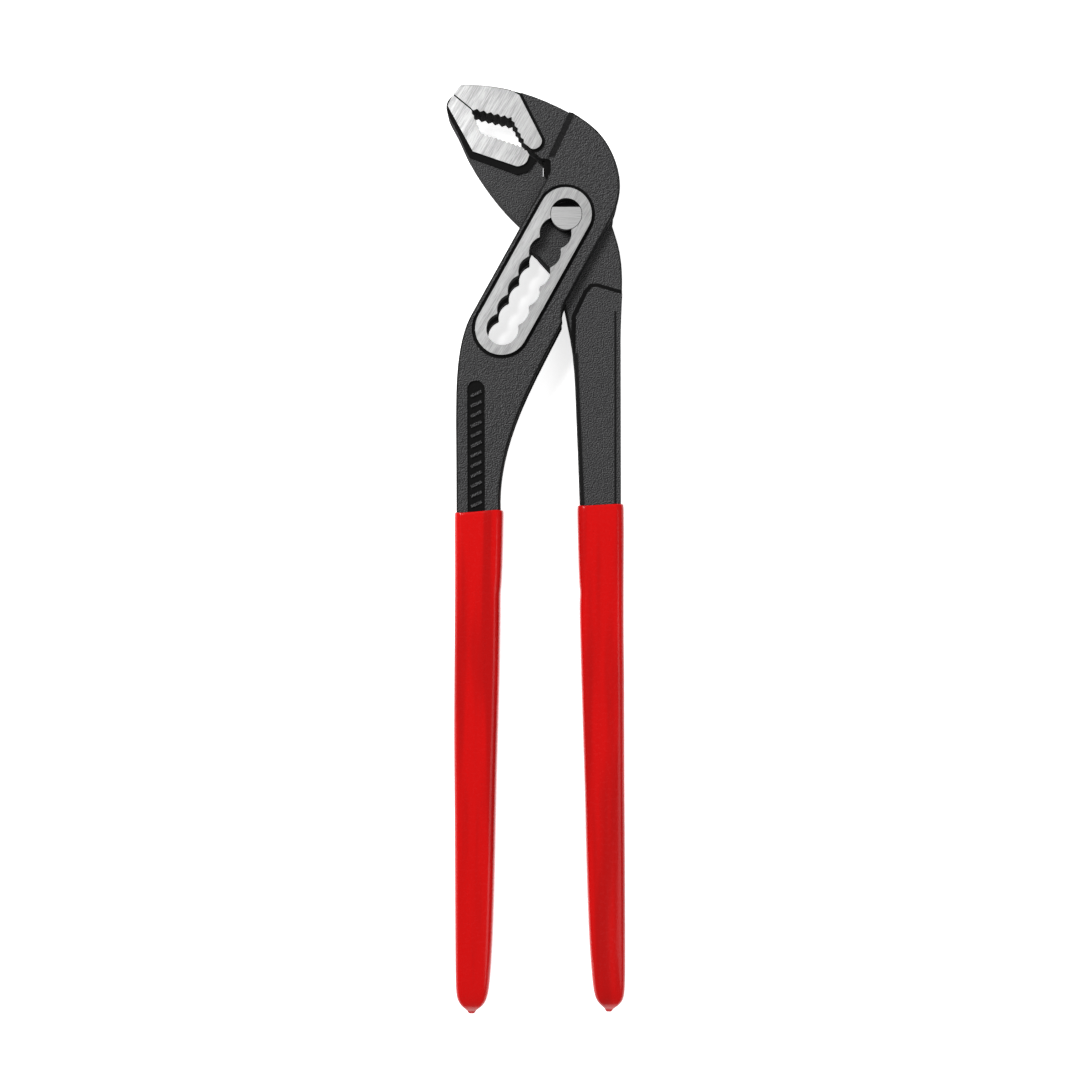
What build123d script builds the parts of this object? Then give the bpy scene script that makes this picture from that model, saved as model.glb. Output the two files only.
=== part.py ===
"""Tongue and groove pliers, 300 mm, lying flat with the back ground faces on Z = 0.

X runs across the handles, Y runs from the grips towards the jaws and Z is the thickness.
The origin is where the axis of the pivot pin meets the back face, with the pin in the first seat.
"""

from build123d import *
import math
import os

os.makedirs("parts", exist_ok=True)

# Thicknesses, all centred on the middle plane of the tool
joint_thickness = 16.0
cheek_face_drop = 0.6
window_width = 7.6
neck_side_gap = 0.15
jaw_thickness = 10.0
jaw_forged_drop = 0.4
handle_thickness = 10.4
left_handle_thickness = 10.0
grip_thickness = 12.6

# Adjusting slot: seats for the pin, stepped along a leaning line
seat_count = 7
seat_pitch = 6.97
slot_lean = 29.1
pad_half_width = 8.4
slot_half_width = 3.9

# Pivot pin and the small round core in its back end
pin_radius = 4.9
pin_seat_gap = 0.18
pin_flat_height = 2.25
core_radius = 1.5
core_gap = 0.05
core_length = 12.0

# Neck and the window it works in
neck_round_radius = 15.2
neck_window_gap = 0.6

# Edge treatment
forged_round = 1.0
neck_round = 0.8
grip_round = 3.0
head_bevel = 2.2
tooth_depth = 0.75

# Grooves round the ground pads and the pocket beside the neck, as half thicknesses of what is left
pad_groove_width = 1.1
pad_groove_half = 6.9
jaw_groove_half = 4.2
pocket_half = 4.2
jaw_step_half = 4.3

# Cartouche on the left handle
cartouche_x = -28.8
cartouche_width = 5.6
cartouche_depth = 0.5
cartouche_top = -52.8
cartouche_bottom = -104.0
bar_pitch = 3.2
bar_width = 0.9

# Heights down the handles
grip_top = -95.0
core_end = -246.0

middle = joint_thickness / 2
mid_plane = Plane.XY.offset(middle)
neck_thickness = window_width - 2 * neck_side_gap
panel_step_half = (window_width - neck_side_gap) / 2
cheek_half = middle - cheek_face_drop
slot_travel = seat_pitch * (seat_count - 1)
slot_dir = Vector(-math.sin(math.radians(slot_lean)), -math.cos(math.radians(slot_lean)))
slot_side = Vector(-slot_dir.Y, slot_dir.X)
seat_radius = pin_radius + pin_seat_gap


def along_slot(distance, side=0.0):
    """Return the point at a distance down the slot and a distance to its right."""
    point = slot_dir * distance + slot_side * side
    return (point.X, point.Y)


def toothed_run(start, end, count, depth):
    """Return the corners of a run of saw teeth whose crests stand to the right of the run."""
    begin = Vector(*start)
    step = (Vector(*end) - begin) * (1 / count)
    out = Vector(step.Y, -step.X).normalized() * depth
    corners = []
    for i in range(count):
        root = begin + step * i
        crest = root + step * 0.5 + out
        corners.append((root.X, root.Y))
        corners.append((crest.X, crest.Y))
    return corners


def rim_edges(part):
    """Return the edges that bound the front and back faces of a slab from outside."""
    faces = part.faces().filter_by(lambda f: abs(f.normal_at(f.center()).Z) > 0.9)
    uses = {}
    for face in faces:
        for edge in face.edges():
            key = (round(edge.center().X, 3), round(edge.center().Y, 3), round(edge.center().Z, 3))
            uses.setdefault(key, []).append(edge)
    return ShapeList([found[0] for found in uses.values() if len(found) == 1])


def long_rims(part):
    """Return the rim edges of a grip apart from the straight ones across its open top."""
    rims = rim_edges(part)
    top_y = max(edge.center().Y for edge in rims)
    return rims.filter_by(lambda edge: edge.center().Y < top_y - 1)


def left_handle_side_view(inset):
    """Return the side view of the slotted half, thinning from the joint to the grip."""
    joint_half = cheek_half - inset
    handle_half = left_handle_thickness / 2 - inset
    with BuildSketch() as view:
        with BuildLine():
            top = Line((60, middle + joint_half), (-36, middle + joint_half))
            fall = Spline(top @ 1, (-88, middle + handle_half), tangents=((-1, 0), (-1, 0)))
            end = Polyline(
                fall @ 1,
                (-300, middle + handle_half),
                (-300, middle - handle_half),
                (-88, middle - handle_half),
            )
            rise = Spline(end @ 1, (-36, middle - joint_half), tangents=((1, 0), (1, 0)))
            Polyline(rise @ 1, (60, middle - joint_half), top @ 0)
        make_face()
    return view.sketch


def cutter_from_both_faces(face, half):
    """Return a tool that cuts a flat shape in from both faces, down to a half thickness."""
    with BuildPart() as cutter:
        for side in (1, -1):
            with BuildSketch(Plane.XY.offset(middle + side * half)):
                add(face)
            extrude(amount=side * joint_thickness)
    return cutter.part


def band_round(face, width):
    """Return the band of a given width that runs round the outside of a flat shape."""
    with BuildSketch() as band:
        add(face)
        offset(amount=width)
        add(face, mode=Mode.SUBTRACT)
    return band.sketch


# Corners shared by the two jaws
tip_upper = (-36.1, 39.4)
tip_lower = (-36.3, 39.0)
parting_end_upper = (-30.7, 35.0)
parting_end_lower = (-30.9, 34.6)

upper_mouth = (
    [tip_upper]
    + toothed_run(parting_end_upper, (-17.4, 31.9), 6, tooth_depth)
    + toothed_run((-17.4, 31.9), (-12.6, 22.9), 5, tooth_depth * 0.7)
    + [(-12.6, 22.9)]
)
lower_mouth = (
    [(-11.8, 19.8)]
    + toothed_run((-12.2, 20.3), (-14.8, 22.3), 2, tooth_depth * 0.6)
    + toothed_run((-14.8, 22.3), (-27.4, 26.4), 9, tooth_depth * 0.6)
    + toothed_run((-27.4, 26.4), parting_end_lower, 5, tooth_depth * 0.5)
    + [parting_end_lower, tip_lower]
)

# Flat shapes of the slotted half: the two ground pads and the pocket beside the neck
with BuildSketch() as upper_pad:
    with BuildLine():
        crown_edge = Spline((-33.7, 41.9), (-27.6, 41.9), (-17.0, 40.1))
        pad_heel = Spline((-7.9, 25.0), (-8.0, 23.2), (-9.8, 21.7), (-11.4, 21.9))
        Polyline(crown_edge @ 1, (-15.0, 38.9), pad_heel @ 0)
        Polyline(pad_heel @ 1, *upper_mouth[::-1], crown_edge @ 0)
    make_face()
with BuildSketch() as slot_pad:
    with Locations(along_slot(slot_travel / 2, -0.3)):
        SlotCenterToCenter(slot_travel, 2 * pad_half_width, rotation=90 - slot_lean)
with BuildSketch() as jaw_groove:
    with BuildLine():
        groove_heel = Spline((-6.9, 25.2), (-7.0, 22.8), (-9.2, 20.7), (-12.0, 21.2))
        Polyline(
            groove_heel @ 1,
            (-13.5, 25.0),
            (-17.0, 38.0),
            (-18.0, 42.5),
            (-15.6, 41.6),
            (-14.0, 39.3),
            groove_heel @ 0,
        )
    make_face()
with BuildSketch() as pocket:
    with BuildLine():
        Polyline(
            (-9.0, 18.8),
            (-6.2, 18.6),
            (-4.9, 17.0),
            (-4.9, 13.4),
            (-6.6, 11.0),
            (-9.0, 11.0),
            close=True,
        )
    make_face()

# Slotted half: upper jaw, head, two cheeks with the slot, left handle
with BuildPart() as slotted_half:
    with BuildSketch(mid_plane):
        with BuildLine():
            head = Spline(
                (1.0, 33.4),
                (11.2, 25.5),
                (17.2, 9.5),
                (13.7, -2.4),
                tangents=((0.85, -0.52), (slot_dir.X, slot_dir.Y)),
            )
            cheek_right = Line(head @ 1, (0.6, -26.2))
            crotch = Spline(cheek_right @ 1, (-1.0, -30.0), (-1.2, -34.4))
            bulge = Spline(
                crotch @ 1,
                (-11.9, -55.7),
                (-19.4, -76.6),
                (-21.2, -94.0),
            )
            core_right = Polyline(bulge @ 1, (-22.3, -112.0), (-25.2, core_end + 8))
            core_round = ThreePointArc(core_right @ 1, (-29.8, core_end), (-34.2, core_end + 8))
            core_left = Polyline(core_round @ 1, (-34.4, -112.0), (-35.2, -94.0), (-35.3, -66.0))
            hip = Spline(
                core_left @ 1,
                (-34.3, -45.6),
                along_slot(42.5, -11.0),
                tangents=((0.01, 1), (-slot_dir.X, -slot_dir.Y)),
            )
            cheek_left = Line(hip @ 1, along_slot(-7.2, -11.0))
            Polyline(cheek_left @ 1, (-7.2, 13.9), (-7.2, 17.7), (-6.3, 17.9), head @ 0)
        make_face()
    extrude(amount=cheek_half, both=True)
    with BuildSketch(Plane.YZ):
        add(left_handle_side_view(0))
    extrude(amount=80, both=True, mode=Mode.INTERSECT)

    # Broad bevel where the head drops to the jaw, small rounds on every other rim
    rims = rim_edges(slotted_half.part)
    step_rims = rims.filter_by(
        lambda e: abs(e.center().X + 2.65) < 0.4 and abs(e.center().Y - 25.65) < 0.4
    )
    chamfer(step_rims, length=head_bevel)
    rims = rim_edges(slotted_half.part)
    fillet(
        rims.filter_by(lambda e: not (-7.3 < e.center().X < 1.4 and e.center().Y > 13.0)),
        forged_round,
    )

    # Upper jaw: forged body, with a groove round its ground pad
    with BuildSketch(mid_plane):
        with BuildLine():
            crown = Spline((-33.8, 42.2), (-27.7, 42.2), (-15.7, 40.2), (1.0, 33.4))
            mouth = Polyline(*upper_mouth, (-7.4, 18.2), (-5.0, 17.7), (3.0, 26.0), (1.0, 33.4))
            Line(mouth @ 0, crown @ 0)
        make_face()
    extrude(amount=jaw_thickness / 2 - jaw_forged_drop, both=True)
    add(cutter_from_both_faces(jaw_groove.sketch, jaw_groove_half), mode=Mode.SUBTRACT)
    add(cutter_from_both_faces(pocket.sketch, pocket_half), mode=Mode.SUBTRACT)
    with BuildSketch(mid_plane):
        add(upper_pad.sketch)
    extrude(amount=jaw_thickness / 2, both=True)

    # Ground pad round the slot, with its own groove
    slot_groove = band_round(slot_pad.sketch, pad_groove_width)
    add(cutter_from_both_faces(slot_groove, pad_groove_half), mode=Mode.SUBTRACT)
    with BuildSketch(mid_plane):
        add(slot_pad.sketch)
    extrude(amount=middle, both=True)

    # Window for the neck of the inner half
    window_radius = neck_round_radius + neck_window_gap
    with BuildSketch(mid_plane):
        with BuildLine():
            roof = CenterArc((0, 0), window_radius, 118, -62)
            Polyline(
                roof @ 1,
                (14.0, 12.7),
                (30.0, 25.0),
                (30.0, -50.0),
                (-12.0, -81.0),
                (-18.4, -79.0),
                (-21.6, -71.4),
                (-29.4, -56.4),
                (-42.0, -58.0),
                (-42.0, 0.0),
                (-16.0, 20.0),
                (-7.8, 18.0),
                roof @ 0,
            )
        make_face()
    extrude(amount=window_width / 2, both=True, mode=Mode.SUBTRACT)

    # Seats of the slot, and the passage between them
    with BuildSketch(mid_plane):
        for seat in range(seat_count):
            with Locations(along_slot(seat * seat_pitch)):
                Circle(seat_radius)
        with Locations(along_slot(slot_travel / 2)):
            Rectangle(slot_travel, 2 * slot_half_width, rotation=90 - slot_lean)
    extrude(amount=middle + 1, both=True, mode=Mode.SUBTRACT)

    # Cartouche on the front of the left handle: a recess with slanting bars left standing in it
    cartouche_length = cartouche_top - cartouche_bottom
    with BuildPart(mode=Mode.PRIVATE) as recess:
        with BuildSketch(mid_plane):
            with Locations((cartouche_x, (cartouche_top + cartouche_bottom) / 2)):
                SlotOverall(cartouche_length, cartouche_width, rotation=90)
        extrude(amount=middle)
        with BuildSketch(Plane.YZ):
            add(left_handle_side_view(cartouche_depth))
        extrude(amount=80, both=True, mode=Mode.SUBTRACT)
        with BuildSketch(mid_plane):
            bar_count = int((-96.0 - cartouche_top) / -bar_pitch) - 1
            with Locations((cartouche_x, cartouche_top - bar_pitch * (bar_count + 1) / 2 - 1.0)):
                with GridLocations(0, bar_pitch, 1, bar_count):
                    Rectangle(cartouche_width - 1.8, bar_width, rotation=25)
        extrude(amount=middle, mode=Mode.SUBTRACT)
    add(recess.part, mode=Mode.SUBTRACT)
slotted_half.part.label = "slotted_half"
export_step(slotted_half.part, "parts/slotted_half.step")

# Pivot pin: round through the neck, D-shaped where it rides in the cheeks
flat_from = window_width / 2
with BuildPart() as pivot_pin:
    with BuildSketch(Plane.XY):
        Circle(pin_radius)
    extrude(amount=joint_thickness)
    for low in (-1.0, middle + flat_from):
        with BuildSketch(Plane.XY.offset(low)):
            with Locations((0, pin_flat_height + pin_radius / 2)):
                Rectangle(3 * pin_radius, pin_radius)
        extrude(amount=middle - flat_from + 1.0, mode=Mode.SUBTRACT)
    with BuildSketch(Plane.XY):
        Circle(core_radius + core_gap)
    extrude(amount=core_length + core_gap, mode=Mode.SUBTRACT)
pivot_pin.part.label = "pivot_pin"
export_step(pivot_pin.part, "parts/pivot_pin.step")

# Round core in the back of the pin
with BuildPart() as pivot_core:
    with BuildSketch(Plane.XY):
        Circle(core_radius)
    extrude(amount=core_length)
pivot_core.part.label = "pivot_core"
export_step(pivot_core.part, "parts/pivot_core.step")

# Outline of the inner half: lower jaw, thin neck, right handle
with BuildSketch() as inner_outline:
    with BuildLine():
        back = Spline(tip_lower, (-38.4, 35.6), (-35.7, 28.8), (-32.6, 22.1), (-26.4, 11.6), (-14.4, -2.1))
        under = Spline(
            back @ 1,
            (-9.6, -11.8),
            (-4.9, -17.2),
            (0.0, -30.8),
            tangents=((0.6, -0.8), (0.2, -0.98)),
        )
        inside = Spline(
            under @ 1,
            (2.4, -43.8),
            (3.4, -59.9),
            (4.1, -77.0),
            tangents=((0.2, -0.98), (0.04, -1)),
        )
        core_left = Polyline(inside @ 1, (4.7, -94.0), (5.7, -112.0), (9.6, core_end + 11))
        core_round = ThreePointArc(core_left @ 1, (13.4, core_end + 5), (17.2, core_end + 11))
        core_right = Polyline(core_round @ 1, (17.1, -112.0), (17.6, -94.0), (17.5, -40.0))
        outside = Spline(core_right @ 1, (16.6, -8.0), (14.9, -2.6), tangents=((0, 1), (-0.3, 0.95)))
        Polyline(outside @ 1, (8.0, 4.0), (-7.4, 12.6), (-7.4, 16.0), (-9.6, 18.4), *lower_mouth)
    make_face()
    Circle(neck_round_radius)
inner_face = inner_outline.sketch


def slab_of_inner_half(corners, half):
    """Return the part of the inner half's outline that lies inside the corners, as a slab."""
    with BuildPart() as slab:
        with BuildSketch(mid_plane):
            add(inner_face)
            with BuildSketch(mode=Mode.INTERSECT):
                with BuildLine():
                    Polyline(*corners, close=True)
                make_face()
        extrude(amount=half, both=True)
    return slab.part


# Areas of the inner half, and the ground pad of its jaw
jaw_area = (
    (-50, 45),
    (-50, 19.4),
    (-31.6, 19.4),
    (-15.6, 13.6),
    (-12.2, 14.6),
    (-10.0, 17.4),
    (-6, 24),
    (-6, 45),
)
panel_area = (
    (-20, -60),
    (3.0, -43.8),
    (3.2, -32.2),
    (6.8, -24.6),
    (8.2, -22.8),
    (9.8, -22.6),
    (30, -28.4),
    (30, -300),
    (-20, -300),
)
panel_step_area = (
    (-20, -60),
    (1.5, -43.0),
    (1.8, -31.6),
    (5.8, -23.4),
    (7.8, -21.3),
    (9.8, -21.1),
    (30, -26.9),
    (30, -300),
    (-20, -300),
)
with BuildSketch() as lower_pad:
    with BuildLine():
        pad_back = Polyline(tip_lower, (-38.0, 35.6), (-29.9, 20.9), (-16.2, 16.2))
        pad_toe = Spline(pad_back @ 1, (-14.0, 16.5), (-12.2, 18.6), tangents=((1, -0.34), (0.3, 1)))
        Polyline(pad_toe @ 1, *lower_mouth)
    make_face()

# Inner half
with BuildPart() as inner_half:
    with BuildSketch(mid_plane):
        add(inner_face)
    extrude(amount=neck_thickness / 2, both=True)
    rims = rim_edges(inner_half.part)
    fillet(rims.filter_by(lambda e: e.center().Y < 13 and e.length > 14), neck_round)

    # Lower jaw: forged step and ground pad
    add(slab_of_inner_half(jaw_area, jaw_step_half))
    with BuildSketch(mid_plane):
        add(lower_pad.sketch)
    extrude(amount=jaw_thickness / 2, both=True)

    # Handle panel, thicker than the neck, with a low step round its upper end
    add(slab_of_inner_half(panel_step_area, panel_step_half))
    add(slab_of_inner_half(panel_area, handle_thickness / 2))
    with BuildSketch(mid_plane):
        Circle(pin_radius)
    extrude(amount=middle + 1, both=True, mode=Mode.SUBTRACT)
inner_half.part.label = "inner_half"
export_step(inner_half.part, "parts/inner_half.step")

# Dipped grip of the slotted half, closed at the bottom with a drip tip
with BuildPart() as slotted_half_grip:
    with BuildSketch(mid_plane):
        with BuildLine():
            left = Spline(
                (-35.9, grip_top),
                (-36.1, -166.5),
                (-35.7, -229.7),
                (-35.3, -248.0),
                tangents=((0, -1), (0.05, -1)),
            )
            heel = Spline(left @ 1, (-30.2, -256.0), (-25.0, -248.0), tangents=((0.05, -1), (0.1, 1)))
            right = Spline(
                heel @ 1,
                (-23.5, -229.7),
                (-21.4, -145.8),
                (-20.1, grip_top),
                tangents=((0.1, 1), (0.02, 1)),
            )
            Line(right @ 1, left @ 0)
        make_face()
    extrude(amount=grip_thickness / 2, both=True)
    fillet(long_rims(slotted_half_grip.part), grip_round)
    with Locations((-30.5, -255.2, middle)):
        Sphere(2.2)
    add(slotted_half.part, mode=Mode.SUBTRACT)
slotted_half_grip.part.label = "slotted_half_grip"
export_step(slotted_half_grip.part, "parts/slotted_half_grip.step")

# Dipped grip of the inner half
with BuildPart() as inner_half_grip:
    with BuildSketch(mid_plane):
        with BuildLine():
            left = Spline(
                (3.9, grip_top + 2),
                (4.3, -125.7),
                (6.4, -200.9),
                (8.5, -246.0),
                tangents=((0, -1), (0.06, -1)),
            )
            heel = Spline(left @ 1, (13.9, -255.3), (19.1, -247.5), tangents=((0.06, -1), (0, 1)))
            right = Spline(
                heel @ 1,
                (19.1, -200.9),
                (18.8, -145.8),
                (18.6, grip_top + 2),
                tangents=((0, 1), (0, 1)),
            )
            Line(right @ 1, left @ 0)
        make_face()
    extrude(amount=grip_thickness / 2, both=True)
    fillet(long_rims(inner_half_grip.part), grip_round)
    with Locations((13.9, -254.6, middle)):
        Sphere(2.2)
    add(inner_half.part, mode=Mode.SUBTRACT)
inner_half_grip.part.label = "inner_half_grip"
export_step(inner_half_grip.part, "parts/inner_half_grip.step")
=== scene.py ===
"""Tongue and groove pliers: finishes, dipped grips, floor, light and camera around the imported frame.

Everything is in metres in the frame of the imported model: X across the handles, Y from the grips
to the jaws, Z the thickness, with the pivot pin's axis at the origin and the back face at Z = 0.
"""

import logging
import math
from dataclasses import dataclass
from enum import Enum

import bpy
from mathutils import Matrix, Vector


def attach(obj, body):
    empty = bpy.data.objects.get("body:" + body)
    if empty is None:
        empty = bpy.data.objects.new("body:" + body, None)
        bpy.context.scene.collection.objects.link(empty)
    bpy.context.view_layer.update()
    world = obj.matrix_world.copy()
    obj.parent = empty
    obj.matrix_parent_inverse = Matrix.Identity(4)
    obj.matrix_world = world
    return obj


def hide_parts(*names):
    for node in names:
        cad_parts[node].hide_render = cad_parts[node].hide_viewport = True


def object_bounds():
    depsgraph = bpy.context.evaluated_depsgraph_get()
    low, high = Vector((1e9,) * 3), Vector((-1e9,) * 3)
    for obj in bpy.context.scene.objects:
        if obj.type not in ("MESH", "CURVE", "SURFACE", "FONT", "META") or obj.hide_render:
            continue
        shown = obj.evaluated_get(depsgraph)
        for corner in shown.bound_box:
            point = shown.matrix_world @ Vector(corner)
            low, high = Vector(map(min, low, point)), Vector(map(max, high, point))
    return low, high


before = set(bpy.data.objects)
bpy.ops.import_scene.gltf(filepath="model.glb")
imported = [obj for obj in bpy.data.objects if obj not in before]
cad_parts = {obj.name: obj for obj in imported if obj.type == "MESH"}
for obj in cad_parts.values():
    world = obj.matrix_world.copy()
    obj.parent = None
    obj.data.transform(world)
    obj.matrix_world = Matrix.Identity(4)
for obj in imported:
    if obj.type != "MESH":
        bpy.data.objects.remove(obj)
cad_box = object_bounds()

log = logging.getLogger("pliers")
MM = 0.001

Point = tuple[float, float, float]
Colour = tuple[float, float, float, float]


class Body(Enum):
    """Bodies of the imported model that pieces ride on."""

    SLOTTED = "slotted_half_body"
    INNER = "inner_half_body"


class Slot(Enum):
    """Material slots of the record that built pieces wear."""

    DIP = "red_dip"


def node_object(name: str) -> bpy.types.Object:
    """Return the Blender object of a CAD node.

    Args:
        name: The node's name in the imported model.

    Returns:
        The object that carries the node's mesh.
    """
    return bpy.data.objects[name]


def deselect_all() -> None:
    """Leave edit mode if needed and deselect every object."""
    if bpy.context.object and bpy.context.object.mode != "OBJECT":
        bpy.ops.object.mode_set(mode="OBJECT")
    bpy.ops.object.select_all(action="DESELECT")


def make_active(piece: bpy.types.Object) -> None:
    """Select one object alone and make it active."""
    deselect_all()
    piece.select_set(True)
    bpy.context.view_layer.objects.active = piece


class Nodes:
    """A small helper that adds and links shader nodes in one tree."""

    def __init__(self, tree: bpy.types.NodeTree) -> None:
        """Keep the tree that nodes are added to."""
        self.tree = tree

    def add(self, kind: str, **settings: object) -> bpy.types.Node:
        """Add a node and set its properties.

        Args:
            kind: The node's Blender type name.
            **settings: Properties to set on the node.

        Returns:
            The new node.
        """
        node = self.tree.nodes.new(kind)
        for name, value in settings.items():
            setattr(node, name, value)
        return node

    def link(self, source: bpy.types.NodeSocket, target: bpy.types.NodeSocket) -> None:
        """Link an output socket to an input socket."""
        self.tree.links.new(source, target)

    def feed(self, target: bpy.types.NodeSocket, value: object) -> None:
        """Link a socket, or set a constant, on an input socket."""
        if isinstance(value, bpy.types.NodeSocket):
            self.link(value, target)
        else:
            target.default_value = value

    def math(
        self, operation: str, first: object, second: object = 0.0, clamp: bool = False
    ) -> bpy.types.NodeSocket:
        """Add a Math node.

        Args:
            operation: The operation's name.
            first: A socket or a number.
            second: A socket or a number.
            clamp: Whether the result is kept between 0 and 1.

        Returns:
            The node's output socket.
        """
        node = self.add("ShaderNodeMath", operation=operation, use_clamp=clamp)
        self.feed(node.inputs[0], first)
        self.feed(node.inputs[1], second)
        return node.outputs[0]

    def ramp(
        self,
        value: object,
        low: float,
        high: float,
        out_low: float = 0.0,
        out_high: float = 1.0,
    ) -> bpy.types.NodeSocket:
        """Map a value smoothly from one range to another.

        Args:
            value: A socket or a number.
            low: The value that gives out_low.
            high: The value that gives out_high.
            out_low: Result at and below low.
            out_high: Result at and above high.

        Returns:
            The mapped value's socket.
        """
        node = self.add("ShaderNodeMapRange", interpolation_type="SMOOTHSTEP")
        for socket, number in zip(node.inputs, (value, low, high, out_low, out_high)):
            self.feed(socket, number)
        return node.outputs[0]

    def blend(self, factor: object, first: object, second: object) -> bpy.types.NodeSocket:
        """Mix two colours.

        Args:
            factor: Share of the second colour, a socket or a number.
            first: A socket or a colour.
            second: A socket or a colour.

        Returns:
            The mixed colour's socket.
        """
        node = self.add("ShaderNodeMix", data_type="RGBA")
        self.feed(node.inputs[0], factor)
        self.feed(node.inputs[6], first)
        self.feed(node.inputs[7], second)
        return node.outputs[2]

    def noise(
        self,
        vector: bpy.types.NodeSocket,
        scale: float,
        detail: float = 2.0,
        roughness: float = 0.5,
    ) -> bpy.types.NodeSocket:
        """Add a noise texture.

        Args:
            vector: The coordinates' socket.
            scale: Size of the pattern, in cycles per metre.
            detail: Octaves.
            roughness: Share of the finer octaves.

        Returns:
            The noise value's socket.
        """
        node = self.add("ShaderNodeTexNoise")
        self.link(vector, node.inputs["Vector"])
        node.inputs["Scale"].default_value = scale
        node.inputs["Detail"].default_value = detail
        node.inputs["Roughness"].default_value = roughness
        return node.outputs["Fac"]


def new_group(
    name: str, inputs: dict[str, str], outputs: dict[str, str]
) -> tuple[bpy.types.NodeTree, bpy.types.Node, bpy.types.Node]:
    """Make an empty shader node group.

    Args:
        name: The group's name.
        inputs: Input names and their socket types.
        outputs: Output names and their socket types.

    Returns:
        The group, its input node and its output node.
    """
    tree = bpy.data.node_groups.new(name, "ShaderNodeTree")
    for label, kind in inputs.items():
        tree.interface.new_socket(name=label, in_out="INPUT", socket_type=kind)
    for label, kind in outputs.items():
        tree.interface.new_socket(name=label, in_out="OUTPUT", socket_type=kind)
    return tree, tree.nodes.new("NodeGroupInput"), tree.nodes.new("NodeGroupOutput")


FLOAT = "NodeSocketFloat"
LIGHT_STEP = 0.1 * MM
EMBOSS_GAIN = 5.0
MOTTLE_SCALE = 700.0
SCRATCH_SQUEEZE = 0.05
BROAD_SCRATCHES = 500.0
BROAD_SHARE = 0.4
TONE_RANGE = (0.38, 0.62)


class SharedEffects:
    """Node groups used by more than one finish."""

    def __init__(self) -> None:
        """Build each group once."""
        self.grain = self._build_grain()
        self.brushing = self._build_brushing()

    def _build_grain(self) -> bpy.types.NodeTree:
        """Return a group with a surface's pebbled height, a painted slanting light and shade embossed
        from that height, and its mottling.
        """
        tree, start, end = new_group(
            "pebbled_grain",
            {"Scale": FLOAT},
            {"Height": FLOAT, "PaintedEmbossLight": FLOAT, "Mottle": FLOAT},
        )
        nodes = Nodes(tree)
        place = nodes.add("ShaderNodeTexCoord").outputs["Object"]
        moved = nodes.add("ShaderNodeVectorMath", operation="ADD")
        nodes.link(place, moved.inputs[0])
        moved.inputs[1].default_value = (-LIGHT_STEP, LIGHT_STEP, 0.0)
        heights = []
        for where in (place, moved.outputs[0]):
            pebble = nodes.add("ShaderNodeTexNoise")
            nodes.link(where, pebble.inputs["Vector"])
            nodes.link(start.outputs["Scale"], pebble.inputs["Scale"])
            pebble.inputs["Detail"].default_value = 3.0
            pebble.inputs["Roughness"].default_value = 0.6
            heights.append(pebble.outputs["Fac"])
        height, shifted = heights
        # Painted slanting light: the height minus the height a little way off, lit on one side of each
        # pebble and shaded on the other.
        emboss_slope = nodes.math("MULTIPLY", nodes.math("SUBTRACT", height, shifted), EMBOSS_GAIN)
        nodes.link(nodes.math("ADD", emboss_slope, 0.5, clamp=True), end.inputs["PaintedEmbossLight"])
        nodes.link(height, end.inputs["Height"])
        nodes.link(nodes.noise(place, MOTTLE_SCALE, 3.0, 0.6), end.inputs["Mottle"])
        return tree

    def _build_brushing(self) -> bpy.types.NodeTree:
        """Return a group that gives fine scratches along a direction in the XY plane."""
        tree, start, end = new_group(
            "brushed_lines",
            {"Angle": FLOAT, "Scale": FLOAT},
            {"Height": FLOAT, "Tone": FLOAT},
        )
        nodes = Nodes(tree)
        place = nodes.add("ShaderNodeTexCoord").outputs["Object"]
        turn = nodes.add("ShaderNodeVectorRotate", rotation_type="Z_AXIS")
        nodes.link(place, turn.inputs["Vector"])
        nodes.link(start.outputs["Angle"], turn.inputs["Angle"])
        stretch = nodes.add("ShaderNodeVectorMath", operation="MULTIPLY")
        nodes.link(turn.outputs[0], stretch.inputs[0])
        stretch.inputs[1].default_value = (SCRATCH_SQUEEZE, 1.0, 1.0)
        lines = nodes.add("ShaderNodeTexNoise")
        nodes.link(stretch.outputs[0], lines.inputs["Vector"])
        nodes.link(start.outputs["Scale"], lines.inputs["Scale"])
        lines.inputs["Detail"].default_value = 4.0
        lines.inputs["Roughness"].default_value = 0.7
        broad = nodes.noise(stretch.outputs[0], BROAD_SCRATCHES, 2.0)
        nodes.link(lines.outputs["Fac"], end.inputs["Height"])
        fine_part = nodes.math("MULTIPLY", lines.outputs["Fac"], 1.0 - BROAD_SHARE)
        broad_part = nodes.math("MULTIPLY", broad, BROAD_SHARE)
        nodes.link(nodes.math("ADD", fine_part, broad_part), end.inputs["Tone"])
        return tree


def new_material(name: str) -> tuple[bpy.types.Material, Nodes, bpy.types.Node]:
    """Make a material with a Principled shader.

    Args:
        name: The material's name.

    Returns:
        The material, its node helper and its Principled node.
    """
    material = bpy.data.materials.new(name)
    material.use_nodes = True
    nodes = Nodes(material.node_tree)
    shader = material.node_tree.nodes["Principled BSDF"]
    return material, nodes, shader


@dataclass(frozen=True)
class Band:
    """Flat faces at one height from the middle plane, above one line across the tool."""

    height: float
    reach: float
    from_y: float


@dataclass(frozen=True)
class PaintedShadeLine:
    """A painted shade line down a handle beside its edge, from one height, at a slope."""

    x: float
    from_y: float
    slope: float
    half_width: float


@dataclass(frozen=True)
class Recess:
    """A long recess in a handle whose face falls smoothly between two lines across the tool; its floor
    is painted dark as shade.
    """

    centre_x: float
    half_width: float
    top_y: float
    fall_from_y: float
    fall_to_y: float
    high: float
    low: float
    depth: float


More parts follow.
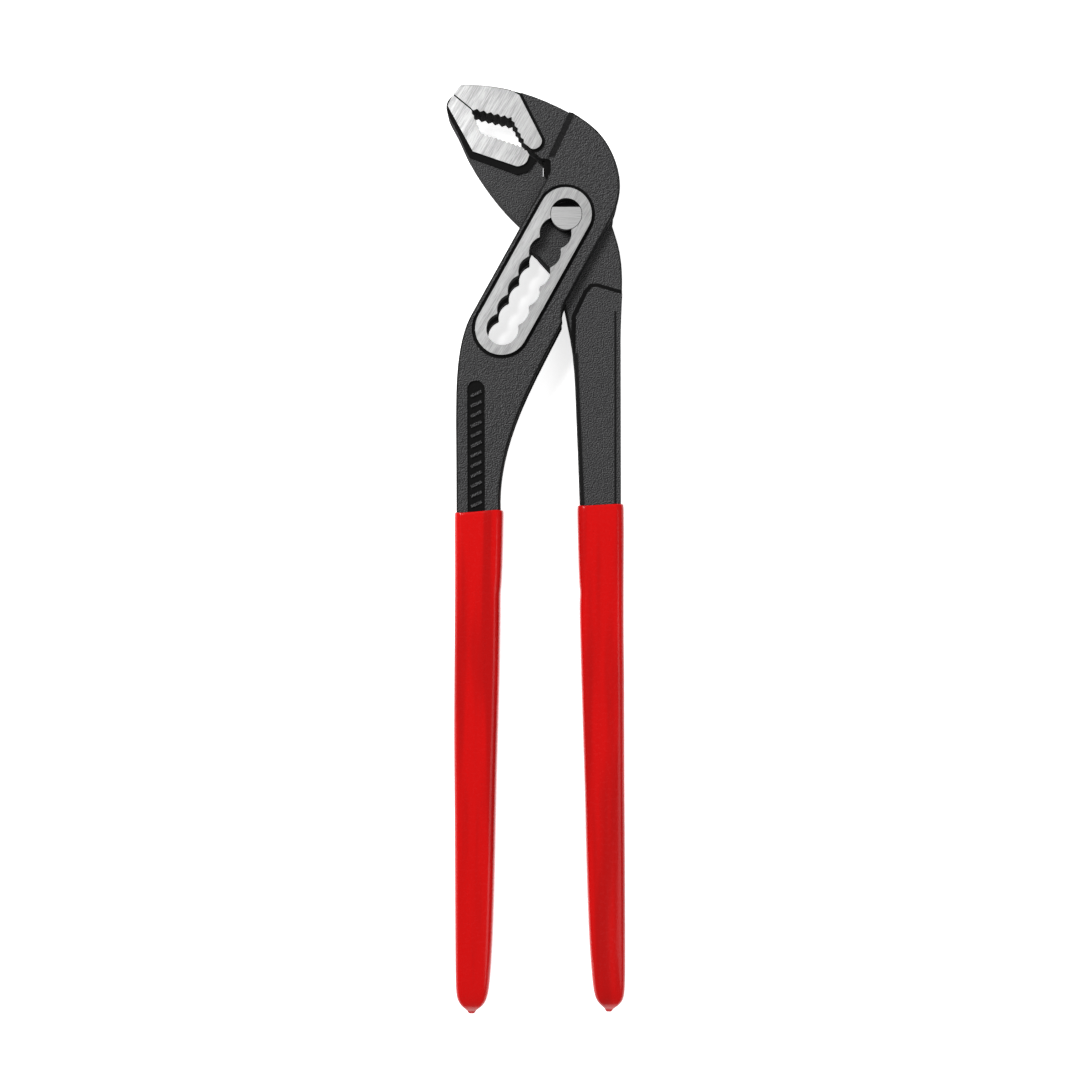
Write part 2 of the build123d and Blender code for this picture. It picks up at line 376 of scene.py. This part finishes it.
@dataclass(frozen=True)
class ForgedFinish:
    """Black grainy forging with bright ground faces, painted emboss light and shade on the grain, and
    painted shade on sunk bands, the recess floor, steep flanks and lines beside edges.
    """

    name: str
    mid_height: float
    ground: tuple[Band, ...]
    shade_bands: tuple[Band, ...]
    recess: Recess | None = None
    shade_lines: tuple[PaintedShadeLine, ...] = ()
    black: Colour = (0.015, 0.015, 0.016, 1.0)
    grey: Colour = (0.024, 0.024, 0.025, 1.0)
    # Painted emboss shade and painted emboss highlight on the grain.
    emboss_shade: Colour = (0.003, 0.003, 0.003, 1.0)
    emboss_highlight: Colour = (0.100, 0.100, 0.102, 1.0)
    # Painted shade colour for sunk bands, the recess floor, steep flanks and edge lines.
    painted_shade: Colour = (0.002, 0.002, 0.002, 1.0)
    bright: Colour = (0.45, 0.45, 0.45, 1.0)
    bright_low: Colour = (0.25, 0.25, 0.25, 1.0)
    brush_angle: float = math.radians(-60)
    relief: float = 0.3 * MM
    grain_scale: float = 2500.0
    scratch_scale: float = 4200.0
    scratch_relief: float = 0.15
    # Painted shade on steep flanks: how upright a face may be before it darkens, and how dark it gets.
    flank_shade_range: tuple[float, float] = (0.985, 0.80)
    edge_shade_depth: float = 0.9
    bright_roughness: tuple[float, float] = (0.50, 0.32)

    def build(self, effects: SharedEffects) -> bpy.types.Material:
        """Build the material.

        Args:
            effects: The shared node groups.

        Returns:
            The finished material.
        """
        material, nodes, shader = new_material(self.name)
        place, facing, flat = self._place_and_facing(nodes)
        bright = self._band_mask(nodes, place, flat, self.ground)
        # Painted shade on the sunk bands and on the recess floor.
        sunk_shade = self._band_mask(nodes, place, flat, self.shade_bands)
        if self.recess:
            sunk_shade = nodes.math("MAXIMUM", sunk_shade, self._recess_shade_mask(nodes, place, flat, self.recess))
        # Painted shade on faces that turn away from the top, and on the lines beside edges.
        flank_shade = nodes.ramp(nodes.math("ABSOLUTE", facing.outputs["Z"]), *self.flank_shade_range)
        for line in self.shade_lines:
            flank_shade = nodes.math("MAXIMUM", flank_shade, self._shade_line_mask(nodes, place, line))
        grain = nodes.add("ShaderNodeGroup", node_tree=effects.grain)
        grain.inputs["Scale"].default_value = self.grain_scale
        brushed = nodes.add("ShaderNodeGroup", node_tree=effects.brushing)
        brushed.inputs["Angle"].default_value = self.brush_angle
        brushed.inputs["Scale"].default_value = self.scratch_scale

        # relief here is the grain's painted slanting light, not a bump.
        mottle, relief = grain.outputs["Mottle"], grain.outputs["PaintedEmbossLight"]
        mottled = nodes.blend(nodes.ramp(mottle, 0.35, 0.65), self.black, self.grey)
        # Painted shade where the emboss falls away from the light, painted highlight where it faces
        # it.
        shaded = nodes.blend(nodes.ramp(relief, 0.5, 0.15), mottled, self.emboss_shade)
        painted_emboss = nodes.blend(nodes.ramp(relief, 0.5, 0.95), shaded, self.emboss_highlight)
        # Paint the shade of flanks and edge lines, then the shade of sunk bands and the recess.
        edge_shaded = nodes.blend(nodes.math("MULTIPLY", flank_shade, self.edge_shade_depth), painted_emboss, self.painted_shade)
        forged = nodes.blend(sunk_shade, edge_shaded, self.painted_shade)
        tone = nodes.ramp(brushed.outputs["Tone"], *TONE_RANGE)
        toned = nodes.blend(tone, self.bright_low, self.bright)
        nodes.link(nodes.blend(bright, forged, toned), shader.inputs["Base Color"])
        nodes.link(bright, shader.inputs["Metallic"])
        dark = nodes.math("MAXIMUM", flank_shade, sunk_shade)
        rough_forged = nodes.ramp(mottle, 0.3, 0.7, 0.62, 0.48)
        rough_black = nodes.ramp(dark, 0.0, 1.0, rough_forged, 0.9)
        shader.inputs["Specular IOR Level"].default_value = 0.2
        rough_bright = nodes.ramp(brushed.outputs["Tone"], *TONE_RANGE, *self.bright_roughness)
        rest = nodes.math("SUBTRACT", 1.0, bright)
        roughness = nodes.math(
            "ADD",
            nodes.math("MULTIPLY", rough_black, rest),
            nodes.math("MULTIPLY", rough_bright, bright),
        )
        nodes.link(roughness, shader.inputs["Roughness"])
        scratches = nodes.math("MULTIPLY", brushed.outputs["Height"], self.scratch_relief)
        height = nodes.math(
            "ADD",
            nodes.math("MULTIPLY", grain.outputs["Height"], rest),
            nodes.math("MULTIPLY", scratches, bright),
        )
        bump = nodes.add("ShaderNodeBump")
        bump.inputs["Distance"].default_value = self.relief
        bump.inputs["Strength"].default_value = 1.0
        nodes.link(height, bump.inputs["Height"])
        nodes.link(bump.outputs[0], shader.inputs["Normal"])
        return material

    def _place_and_facing(
        self, nodes: Nodes
    ) -> tuple[bpy.types.Node, bpy.types.Node, bpy.types.NodeSocket]:
        """Return the split position, the split normal and a mask of faces that lie flat."""
        coordinates = nodes.add("ShaderNodeTexCoord")
        place = nodes.add("ShaderNodeSeparateXYZ")
        nodes.link(coordinates.outputs["Object"], place.inputs[0])
        facing = nodes.add("ShaderNodeSeparateXYZ")
        nodes.link(coordinates.outputs["Normal"], facing.inputs[0])
        flat = nodes.math("GREATER_THAN", nodes.math("ABSOLUTE", facing.outputs["Z"]), 0.95)
        return place, facing, flat

    def _shade_line_mask(
        self, nodes: Nodes, place: bpy.types.Node, line: PaintedShadeLine
    ) -> bpy.types.NodeSocket:
        """Return a mask that is 1 on one painted shade line beside an edge of a handle.

        Args:
            nodes: The material's node helper.
            place: The node that splits the position.
            line: The line to show.

        Returns:
            The mask's socket.
        """
        run = nodes.math("SUBTRACT", place.outputs["Y"], line.from_y)
        course = nodes.math("ADD", nodes.math("MULTIPLY", run, line.slope), line.x)
        away = nodes.math("ABSOLUTE", nodes.math("SUBTRACT", place.outputs["X"], course))
        near = nodes.ramp(away, line.half_width * 0.6, line.half_width * 1.3, 1.0, 0.0)
        below = nodes.math("LESS_THAN", place.outputs["Y"], line.from_y)
        return nodes.math("MULTIPLY", near, below)

    def _band_mask(
        self,
        nodes: Nodes,
        place: bpy.types.Node,
        flat: bpy.types.NodeSocket,
        bands: tuple[Band, ...],
    ) -> bpy.types.NodeSocket:
        """Return a mask that is 1 on the flat faces of some bands.

        Args:
            nodes: The material's node helper.
            place: The node that splits the position.
            flat: The mask of faces that lie flat.
            bands: The bands to show.

        Returns:
            The mask's socket.
        """
        level = nodes.math("ABSOLUTE", nodes.math("SUBTRACT", place.outputs["Z"], self.mid_height))
        total: object = 0.0
        for band in bands:
            away = nodes.math("ABSOLUTE", nodes.math("SUBTRACT", level, band.height))
            near = nodes.math("LESS_THAN", away, band.reach)
            above = nodes.math("GREATER_THAN", place.outputs["Y"], band.from_y)
            total = nodes.math("ADD", total, nodes.math("MULTIPLY", near, above))
        return nodes.math("MULTIPLY", nodes.math("MINIMUM", total, 1.0), flat)

    def _recess_shade_mask(
        self, nodes: Nodes, place: bpy.types.Node, flat: bpy.types.NodeSocket, recess: Recess
    ) -> bpy.types.NodeSocket:
        """Return a mask that is 1 on the floor of the recess, where shade is painted.

        Args:
            nodes: The material's node helper.
            place: The node that splits the position.
            flat: The mask of faces that lie flat.
            recess: Where the recess is and how the face round it falls.

        Returns:
            The mask's socket.
        """
        level = nodes.math("SUBTRACT", place.outputs["Z"], self.mid_height)
        fall = (recess.fall_to_y, recess.fall_from_y, recess.low, recess.high)
        face = nodes.ramp(place.outputs["Y"], *fall)
        below = nodes.math("GREATER_THAN", nodes.math("SUBTRACT", face, level), recess.depth / 2)
        facing_up = nodes.math("GREATER_THAN", level, 0.0)
        across = nodes.math("ABSOLUTE", nodes.math("SUBTRACT", place.outputs["X"], recess.centre_x))
        inside = nodes.math("LESS_THAN", across, recess.half_width)
        down = nodes.math("LESS_THAN", place.outputs["Y"], recess.top_y)
        where = nodes.math("MULTIPLY", nodes.math("MULTIPLY", inside, down), facing_up)
        return nodes.math("MULTIPLY", nodes.math("MULTIPLY", below, where), flat)


@dataclass(frozen=True)
class GroundFinish:
    """Steel ground bright, with scratches one way and painted shade on sunk faces."""

    name: str
    brush_angle: float
    mid_height: float
    shade_within: float
    bright: Colour = (0.58, 0.58, 0.58, 1.0)
    low: Colour = (0.33, 0.33, 0.33, 1.0)
    sunk_shade: Colour = (0.02, 0.02, 0.022, 1.0)
    scratch_scale: float = 3400.0
    scratch_relief: float = 0.01 * MM
    roughness: tuple[float, float] = (0.48, 0.30)

    def build(self, effects: SharedEffects) -> bpy.types.Material:
        """Build the material.

        Args:
            effects: The shared node groups.

        Returns:
            The finished material.
        """
        material, nodes, shader = new_material(self.name)
        brushed = nodes.add("ShaderNodeGroup", node_tree=effects.brushing)
        brushed.inputs["Angle"].default_value = self.brush_angle
        brushed.inputs["Scale"].default_value = self.scratch_scale
        coordinates = nodes.add("ShaderNodeTexCoord")
        place = nodes.add("ShaderNodeSeparateXYZ")
        nodes.link(coordinates.outputs["Object"], place.inputs[0])
        level = nodes.math("ABSOLUTE", nodes.math("SUBTRACT", place.outputs["Z"], self.mid_height))
        # Painted shade on faces that lie deep in the joint, near the middle plane.
        deep_shade = nodes.math("LESS_THAN", level, self.shade_within)
        tone = nodes.blend(nodes.ramp(brushed.outputs["Tone"], *TONE_RANGE), self.low, self.bright)
        nodes.link(nodes.blend(deep_shade, tone, self.sunk_shade), shader.inputs["Base Color"])
        shader.inputs["Metallic"].default_value = 1.0
        roughness = nodes.ramp(brushed.outputs["Tone"], *TONE_RANGE, *self.roughness)
        nodes.link(roughness, shader.inputs["Roughness"])
        bump = nodes.add("ShaderNodeBump")
        bump.inputs["Distance"].default_value = self.scratch_relief
        nodes.link(brushed.outputs["Height"], bump.inputs["Height"])
        nodes.link(bump.outputs[0], shader.inputs["Normal"])
        return material


@dataclass(frozen=True)
class DipFinish:
    """Glossy red vinyl left by dipping, with faint ripples and drag marks."""

    name: str = "red_dipped_vinyl"
    red: Colour = (0.57, 0.001, 0.001, 1.0)
    deep_red: Colour = (0.43, 0.001, 0.001, 1.0)
    ripple_scale: float = 260.0
    drag_scale: float = 180.0
    drag_squeeze: float = 0.07
    drag_relief: float = 0.4 * MM

    def build(self, effects: SharedEffects) -> bpy.types.Material:
        """Build the material.

        Args:
            effects: The shared node groups.

        Returns:
            The finished material.
        """
        material, nodes, shader = new_material(self.name)
        grain = nodes.add("ShaderNodeGroup", node_tree=effects.grain)
        grain.inputs["Scale"].default_value = self.ripple_scale
        coordinates = nodes.add("ShaderNodeTexCoord")
        stretch = nodes.add("ShaderNodeMapping")
        stretch.inputs["Scale"].default_value = (1.0, self.drag_squeeze, 1.0)
        nodes.link(coordinates.outputs["Object"], stretch.inputs["Vector"])
        drag = nodes.noise(stretch.outputs[0], self.drag_scale, 2.0)
        colour = nodes.blend(nodes.ramp(drag, 0.42, 0.66), self.red, self.deep_red)
        nodes.link(colour, shader.inputs["Base Color"])
        roughness = nodes.ramp(grain.outputs["Mottle"], 0.3, 0.7, 0.20, 0.30)
        nodes.link(roughness, shader.inputs["Roughness"])
        shader.inputs["Specular IOR Level"].default_value = 0.1
        shader.inputs["Coat Weight"].default_value = 0.25
        shader.inputs["Coat Roughness"].default_value = 0.12
        bump = nodes.add("ShaderNodeBump")
        bump.inputs["Distance"].default_value = self.drag_relief
        bump.inputs["Strength"].default_value = 0.6
        nodes.link(drag, bump.inputs["Height"])
        nodes.link(bump.outputs[0], shader.inputs["Normal"])
        return material


@dataclass
class Forgings:
    """The two forged halves, whose CAD shapes stay and get their finish."""

    joint_thickness: float = 16.0 * MM
    jaw_half: float = 5.0 * MM
    pad_half: float = 8.0 * MM
    jaw_from_y: float = 14.0 * MM

    def dress(self, effects: SharedEffects) -> None:
        """Give both halves their black and ground finish, with its painted light and shade.

        Args:
            effects: The shared node groups.
        """
        middle = self.joint_thickness / 2
        fine = 0.1 * MM
        slotted = ForgedFinish(
            name="slotted_half_black_ground_and_painted_shade",
            mid_height=middle,
            ground=(
                Band(self.jaw_half, fine, self.jaw_from_y),
                Band(self.pad_half, fine, -60 * MM),
            ),
            # Painted shade on the faces of these sunk bands and on the recess floor below.
            shade_bands=(Band(2.1 * MM, 2.15 * MM, -60 * MM), Band(6.9 * MM, fine, -48 * MM)),
            recess=Recess(
                centre_x=-28.8 * MM,
                half_width=3.2 * MM,
                top_y=-52 * MM,
                fall_from_y=-36 * MM,
                fall_to_y=-88 * MM,
                high=7.4 * MM,
                low=5.0 * MM,
                depth=0.5 * MM,
            ),
        )
        inner = ForgedFinish(
            name="inner_half_black_ground_and_painted_shade",
            mid_height=middle,
            ground=(Band(self.jaw_half, fine, self.jaw_from_y),),
            # Painted shade on the lower jaw's step and on the neck faces sunk in the joint.
            shade_bands=(
                Band(4.3 * MM, 0.05 * MM, 13 * MM),
                Band(3.725 * MM, 0.03 * MM, -400 * MM),
            ),
            # Painted shade lines beside the inner half's handle edges.
            shade_lines=(
                PaintedShadeLine(15.8 * MM, -30.5 * MM, 0.0, 0.38 * MM),
                PaintedShadeLine(2.9 * MM, -43.8 * MM, -0.044, 1.0 * MM),
            ),
        )
        for node, finish in (("slotted_half", slotted), ("inner_half", inner)):
            dress_node(node, finish.build(effects))
            log.info("dressed %s", node)


@dataclass
class PivotPin:
    """The D-ended pin and its round core."""

    mid_height: float = 8.0 * MM
    shoulder: float = 6.0 * MM

    def dress(self, effects: SharedEffects) -> None:
        """Give the pin and the core their ground finish, with painted shade on the pin's faces nearer
        the middle plane than its shoulders.

        Args:
            effects: The shared node groups.
        """
        # The pin gets painted shade nearer the middle plane than its shoulders; the core gets none.
        pin = GroundFinish("ground_pin", 0.0, self.mid_height, self.shoulder)
        core = GroundFinish("ground_core", math.radians(35), self.mid_height, 0.0)
        dress_node("pivot_pin", pin.build(effects))
        dress_node("pivot_core", core.build(effects))
        log.info("dressed pivot_pin and pivot_core")


def dress_node(name: str, material: bpy.types.Material) -> None:
    """Put one material in every slot of a CAD node.

    Args:
        name: The node's name.
        material: The material to assign.
    """
    node = node_object(name)
    if not node.material_slots:
        node.data.materials.append(material)
    for slot in node.material_slots:
        slot.material = material


@dataclass
class DippedGrip:
    """One dipped sleeve, drawn out from its lip to its drip tip."""

    node: str
    body: Body
    stations: tuple[tuple[float, float, float, float], ...]
    lip_wave: float
    thickness: float = 12.5 * MM
    mid_height: float = 8.0 * MM
    wall: float = 0.9 * MM
    corner: float = 2.7 * MM
    mouth_depth: float = 2.5 * MM

    def build(self) -> bpy.types.Object:
        """Build the sleeve's mesh.

        Returns:
            The finished object, at the origin with its place in its mesh.
        """
        top, low = self.stations[0], self.stations[1]
        deselect_all()
        width = (top[2] - top[1]) * MM
        bpy.ops.mesh.primitive_cube_add(
            size=1.0,
            location=((top[1] + top[2]) / 2 * MM, (top[0] + low[0]) / 2 * MM, self.mid_height),
            scale=(width, (top[0] - low[0]) * MM, self.thickness),
        )
        grip = bpy.context.active_object
        grip.name = self.node + "_dip"
        bpy.ops.object.transform_apply(location=True, rotation=True, scale=True)
        self._round_long_edges(grip)
        self._draw_out(grip)
        self._hollow_lip(grip)
        self._wave_lip(grip)
        self._finish(grip)
        return grip

    def _select_cap(self, grip: bpy.types.Object, facing: float) -> Point:
        """Select the end face that looks up or down the handle.

        Args:
            grip: The sleeve, in edit mode.
            facing: 1 for the lip end, -1 for the tip end.

        Returns:
            The face's centre.
        """
        bpy.ops.object.mode_set(mode="OBJECT")
        mesh = grip.data
        for part in (mesh.vertices, mesh.edges, mesh.polygons):
            part.foreach_set("select", [False] * len(part))
        caps = [face for face in mesh.polygons if face.normal.y * facing > 0.8]
        cap = max(caps, key=lambda face: face.center.y * facing)
        cap.select = True
        centre = tuple(cap.center)
        bpy.ops.object.mode_set(mode="EDIT")
        bpy.ops.mesh.select_mode(type="FACE")
        return centre

    def _round_long_edges(self, grip: bpy.types.Object) -> None:
        """Round the four edges that run along the handle."""
        make_active(grip)
        bpy.ops.object.mode_set(mode="EDIT")
        bpy.ops.mesh.select_mode(type="EDGE")
        bpy.ops.mesh.select_all(action="DESELECT")
        bpy.ops.object.mode_set(mode="OBJECT")
        mesh = grip.data
        for edge in mesh.edges:
            ends = [mesh.vertices[index].co for index in edge.vertices]
            edge.select = abs(ends[0].y - ends[1].y) > 0.5 * MM
        bpy.ops.object.mode_set(mode="EDIT")
        bpy.ops.mesh.bevel(offset=self.corner, segments=5, profile=0.5)
        bpy.ops.object.mode_set(mode="OBJECT")

    def _draw_out(self, grip: bpy.types.Object) -> None:
        """Extrude the tip end through the stations, then pull out the drip."""
        make_active(grip)
        width = (self.stations[0][2] - self.stations[0][1]) * MM
        depth = self.thickness
        for y, left, right, thick in self.stations[1:]:
            centre = self._select_cap(grip, -1)
            target = Vector(((left + right) / 2 * MM, y * MM, self.mid_height))
            step = target - Vector(centre)
            if abs(y - self.stations[1][0]) > 0.01:
                bpy.ops.mesh.extrude_region_move(TRANSFORM_OT_translate={"value": step})
            else:
                bpy.ops.transform.translate(value=step)
            new_width, new_depth = (right - left) * MM, thick * MM
            bpy.ops.transform.resize(
                value=(new_width / width, 1.0, new_depth / depth),
                center_override=target,
            )
            width, depth = new_width, new_depth
        bpy.ops.object.mode_set(mode="OBJECT")

    def _hollow_lip(self, grip: bpy.types.Object) -> None:
        """Sink the lip end so that the sleeve shows its wall."""
        make_active(grip)
        self._select_cap(grip, 1)
        bpy.ops.mesh.inset(thickness=self.wall * 0.45)
        bpy.ops.mesh.inset(thickness=self.wall * 0.55)
        sink = (0.0, -self.mouth_depth, 0.0)
        bpy.ops.mesh.extrude_region_move(TRANSFORM_OT_translate={"value": sink})
        bpy.ops.object.mode_set(mode="OBJECT")

    def _wave_lip(self, grip: bpy.types.Object) -> None:
        """Give the lip the uneven line that dipping leaves."""
        top = self.stations[0][0] * MM
        centre = (self.stations[0][1] + self.stations[0][2]) / 2 * MM
        half = (self.stations[0][2] - self.stations[0][1]) / 2 * MM
        for vertex in grip.data.vertices:
            if vertex.co.y > top - 3.0 * MM:
                across = (vertex.co.x - centre) / half
                vertex.co.y += self.lip_wave * math.sin(across * 2.6) - abs(self.lip_wave)

    def _finish(self, grip: bpy.types.Object) -> None:
        """Smooth the sleeve, fix its normals and leave it on its own."""
        make_active(grip)
        smooth = grip.modifiers.new("smooth", "SUBSURF")
        smooth.levels = 2
        smooth.render_levels = 2
        bpy.ops.object.modifier_apply(modifier=smooth.name)
        bpy.ops.object.mode_set(mode="EDIT")
        bpy.ops.mesh.select_all(action="SELECT")
        bpy.ops.mesh.remove_doubles(threshold=0.000001)
        bpy.ops.mesh.normals_make_consistent(inside=False)
        bpy.ops.object.mode_set(mode="OBJECT")
        bpy.ops.object.shade_smooth()
        deselect_all()

    def place(self, material: bpy.types.Material) -> None:
        """Build the sleeve, dress it and let it ride in place of its CAD node.

        Args:
            material: The finish of the sleeve.
        """
        grip = self.build()
        grip.data.materials.clear()
        grip.data.materials.append(material)
        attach(grip, self.body.value)
        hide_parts(self.node)
        log.info("built %s with %d faces", grip.name, len(grip.data.polygons))


SLOTTED_GRIP_STATIONS = (
    (-94.0, -35.8, -20.1, 12.5),
    (-97.0, -35.85, -20.2, 12.5),
    (-109.0, -35.8, -20.4, 12.5),
    (-118.5, -35.8, -20.8, 12.5),
    (-121.0, -35.8, -21.2, 12.3),
    (-124.0, -35.8, -21.1, 12.5),
    (-145.8, -36.0, -21.4, 12.5),
    (-166.5, -36.1, -22.0, 12.5),
    (-187.3, -35.9, -22.6, 12.5),
    (-200.9, -35.8, -22.8, 12.5),
    (-229.7, -35.7, -23.5, 12.5),
    (-242.0, -35.6, -24.2, 12.3),
    (-247.8, -35.5, -24.7, 11.8),
    (-251.0, -35.2, -25.3, 10.8),
    (-253.2, -34.3, -26.3, 9.0),
    (-254.8, -32.9, -27.9, 6.4),
    (-255.7, -32.0, -28.9, 4.0),
    (-256.6, -31.7, -29.3, 3.0),
    (-257.2, -31.2, -29.8, 1.8),
)
INNER_GRIP_STATIONS = (
    (-92.1, 3.65, 18.6, 12.5),
    (-95.0, 3.65, 18.65, 12.5),
    (-102.7, 3.8, 18.7, 12.5),
    (-118.5, 4.2, 18.6, 12.5),
    (-120.5, 4.7, 18.6, 12.4),
    (-123.0, 4.3, 18.6, 12.5),
    (-135.7, 4.6, 18.6, 12.5),
    (-145.8, 4.9, 18.8, 12.5),
    (-166.5, 5.5, 18.8, 12.5),
    (-187.3, 6.2, 18.9, 12.5),
    (-200.9, 6.4, 19.0, 12.5),
    (-229.7, 7.3, 19.1, 12.5),
    (-241.0, 8.1, 19.1, 12.3),
    (-247.0, 8.6, 19.05, 11.8),
    (-250.6, 9.2, 18.8, 10.6),
    (-252.6, 10.2, 18.0, 8.8),
    (-254.2, 11.6, 16.6, 6.2),
    (-255.1, 12.5, 15.5, 4.0),
    (-256.0, 12.8, 15.1, 3.0),
    (-256.6, 13.2, 14.6, 1.8),
)


@dataclass
class Studio:
    """Pale floor, soft light and the camera above the tool."""

    camera_height: float = 412 * MM
    camera_x: float = -8.35 * MM
    camera_y: float = -103.7 * MM
    lens: float = 41.5
    floor_size: float = 3.0
    floor_low: Colour = (0.95, 0.95, 0.95, 1.0)
    floor_high: Colour = (0.97, 0.97, 0.97, 1.0)
    floor_glow: float = 0.75
    surround: float = 0.35

    def build(self) -> None:
        """Add the floor, the lights, the world and the camera."""
        self._floor()
        self._light("key_softbox", (-0.45, 0.35, 0.75), 0.4, 9.0)
        self._light("fill_softbox", (0.55, -0.45, 0.85), 0.7, 3.0)
        self._world()
        self._camera()
        bpy.context.scene.view_settings.view_transform = "Standard"
        log.info("built floor, lights and camera")

    def _floor(self) -> None:
        """Add the pale floor that the back ground face rests on."""
        deselect_all()
        bpy.ops.mesh.primitive_plane_add(size=self.floor_size, location=(0, -0.1, cad_box[0][2]))
        floor = bpy.context.active_object
        floor.name = "floor"
        bpy.ops.object.transform_apply(location=True, rotation=True, scale=True)
        material, nodes, shader = new_material("pale_floor")
        place = nodes.add("ShaderNodeTexCoord").outputs["Object"]
        cloud = nodes.ramp(nodes.noise(place, 6.0), 0.4, 0.6)
        tone = nodes.blend(cloud, self.floor_low, self.floor_high)
        nodes.link(tone, shader.inputs["Base Color"])
        nodes.link(tone, shader.inputs["Emission Color"])
        shader.inputs["Emission Strength"].default_value = self.floor_glow
        shader.inputs["Roughness"].default_value = 0.9
        floor.data.materials.append(material)

    def _light(self, name: str, place: Point, size: float, power: float) -> None:
        """Add a square softbox that faces the tool.

        Args:
            name: The light's name.
            place: Where it hangs.
            size: Its side.
            power: Its power in watts.
        """
        lamp = bpy.data.lights.new(name, "AREA")
        lamp.size = size
        lamp.energy = power
        light = bpy.data.objects.new(name, lamp)
        bpy.context.scene.collection.objects.link(light)
        light.location = place
        towards = Vector((self.camera_x, self.camera_y, 0)) - Vector(place)
        light.rotation_euler = towards.to_track_quat("-Z", "Y").to_euler()

    def _world(self) -> None:
        """Set an even white surround."""
        world = bpy.data.worlds.new("white_surround")
        bpy.context.scene.world = world
        world.use_nodes = True
        background = world.node_tree.nodes["Background"]
        background.inputs["Color"].default_value = (1.0, 1.0, 1.0, 1.0)
        background.inputs["Strength"].default_value = self.surround

    def _camera(self) -> None:
        """Hang the camera straight above the tool."""
        lens = bpy.data.cameras.new("camera")
        lens.lens = self.lens
        lens.sensor_width = 36.0
        lens.clip_start = 0.01
        camera = bpy.data.objects.new("camera", lens)
        bpy.context.scene.collection.objects.link(camera)
        camera.location = (self.camera_x, self.camera_y, self.camera_height)
        bpy.context.scene.camera = camera


def main() -> None:
    """Dress the forgings and the pin, build the grips and set the studio."""
    logging.basicConfig(level=logging.INFO, format="%(name)s: %(message)s")
    effects = SharedEffects()
    Forgings().dress(effects)
    PivotPin().dress(effects)
    dip = DipFinish().build(effects)
    grips = (
        DippedGrip("slotted_half_grip", Body.SLOTTED, SLOTTED_GRIP_STATIONS, 0.5 * MM),
        DippedGrip("inner_half_grip", Body.INNER, INNER_GRIP_STATIONS, 0.3 * MM),
    )
    for grip in grips:
        grip.place(dip)
    Studio().build()


if __name__ == "__main__":
    main()
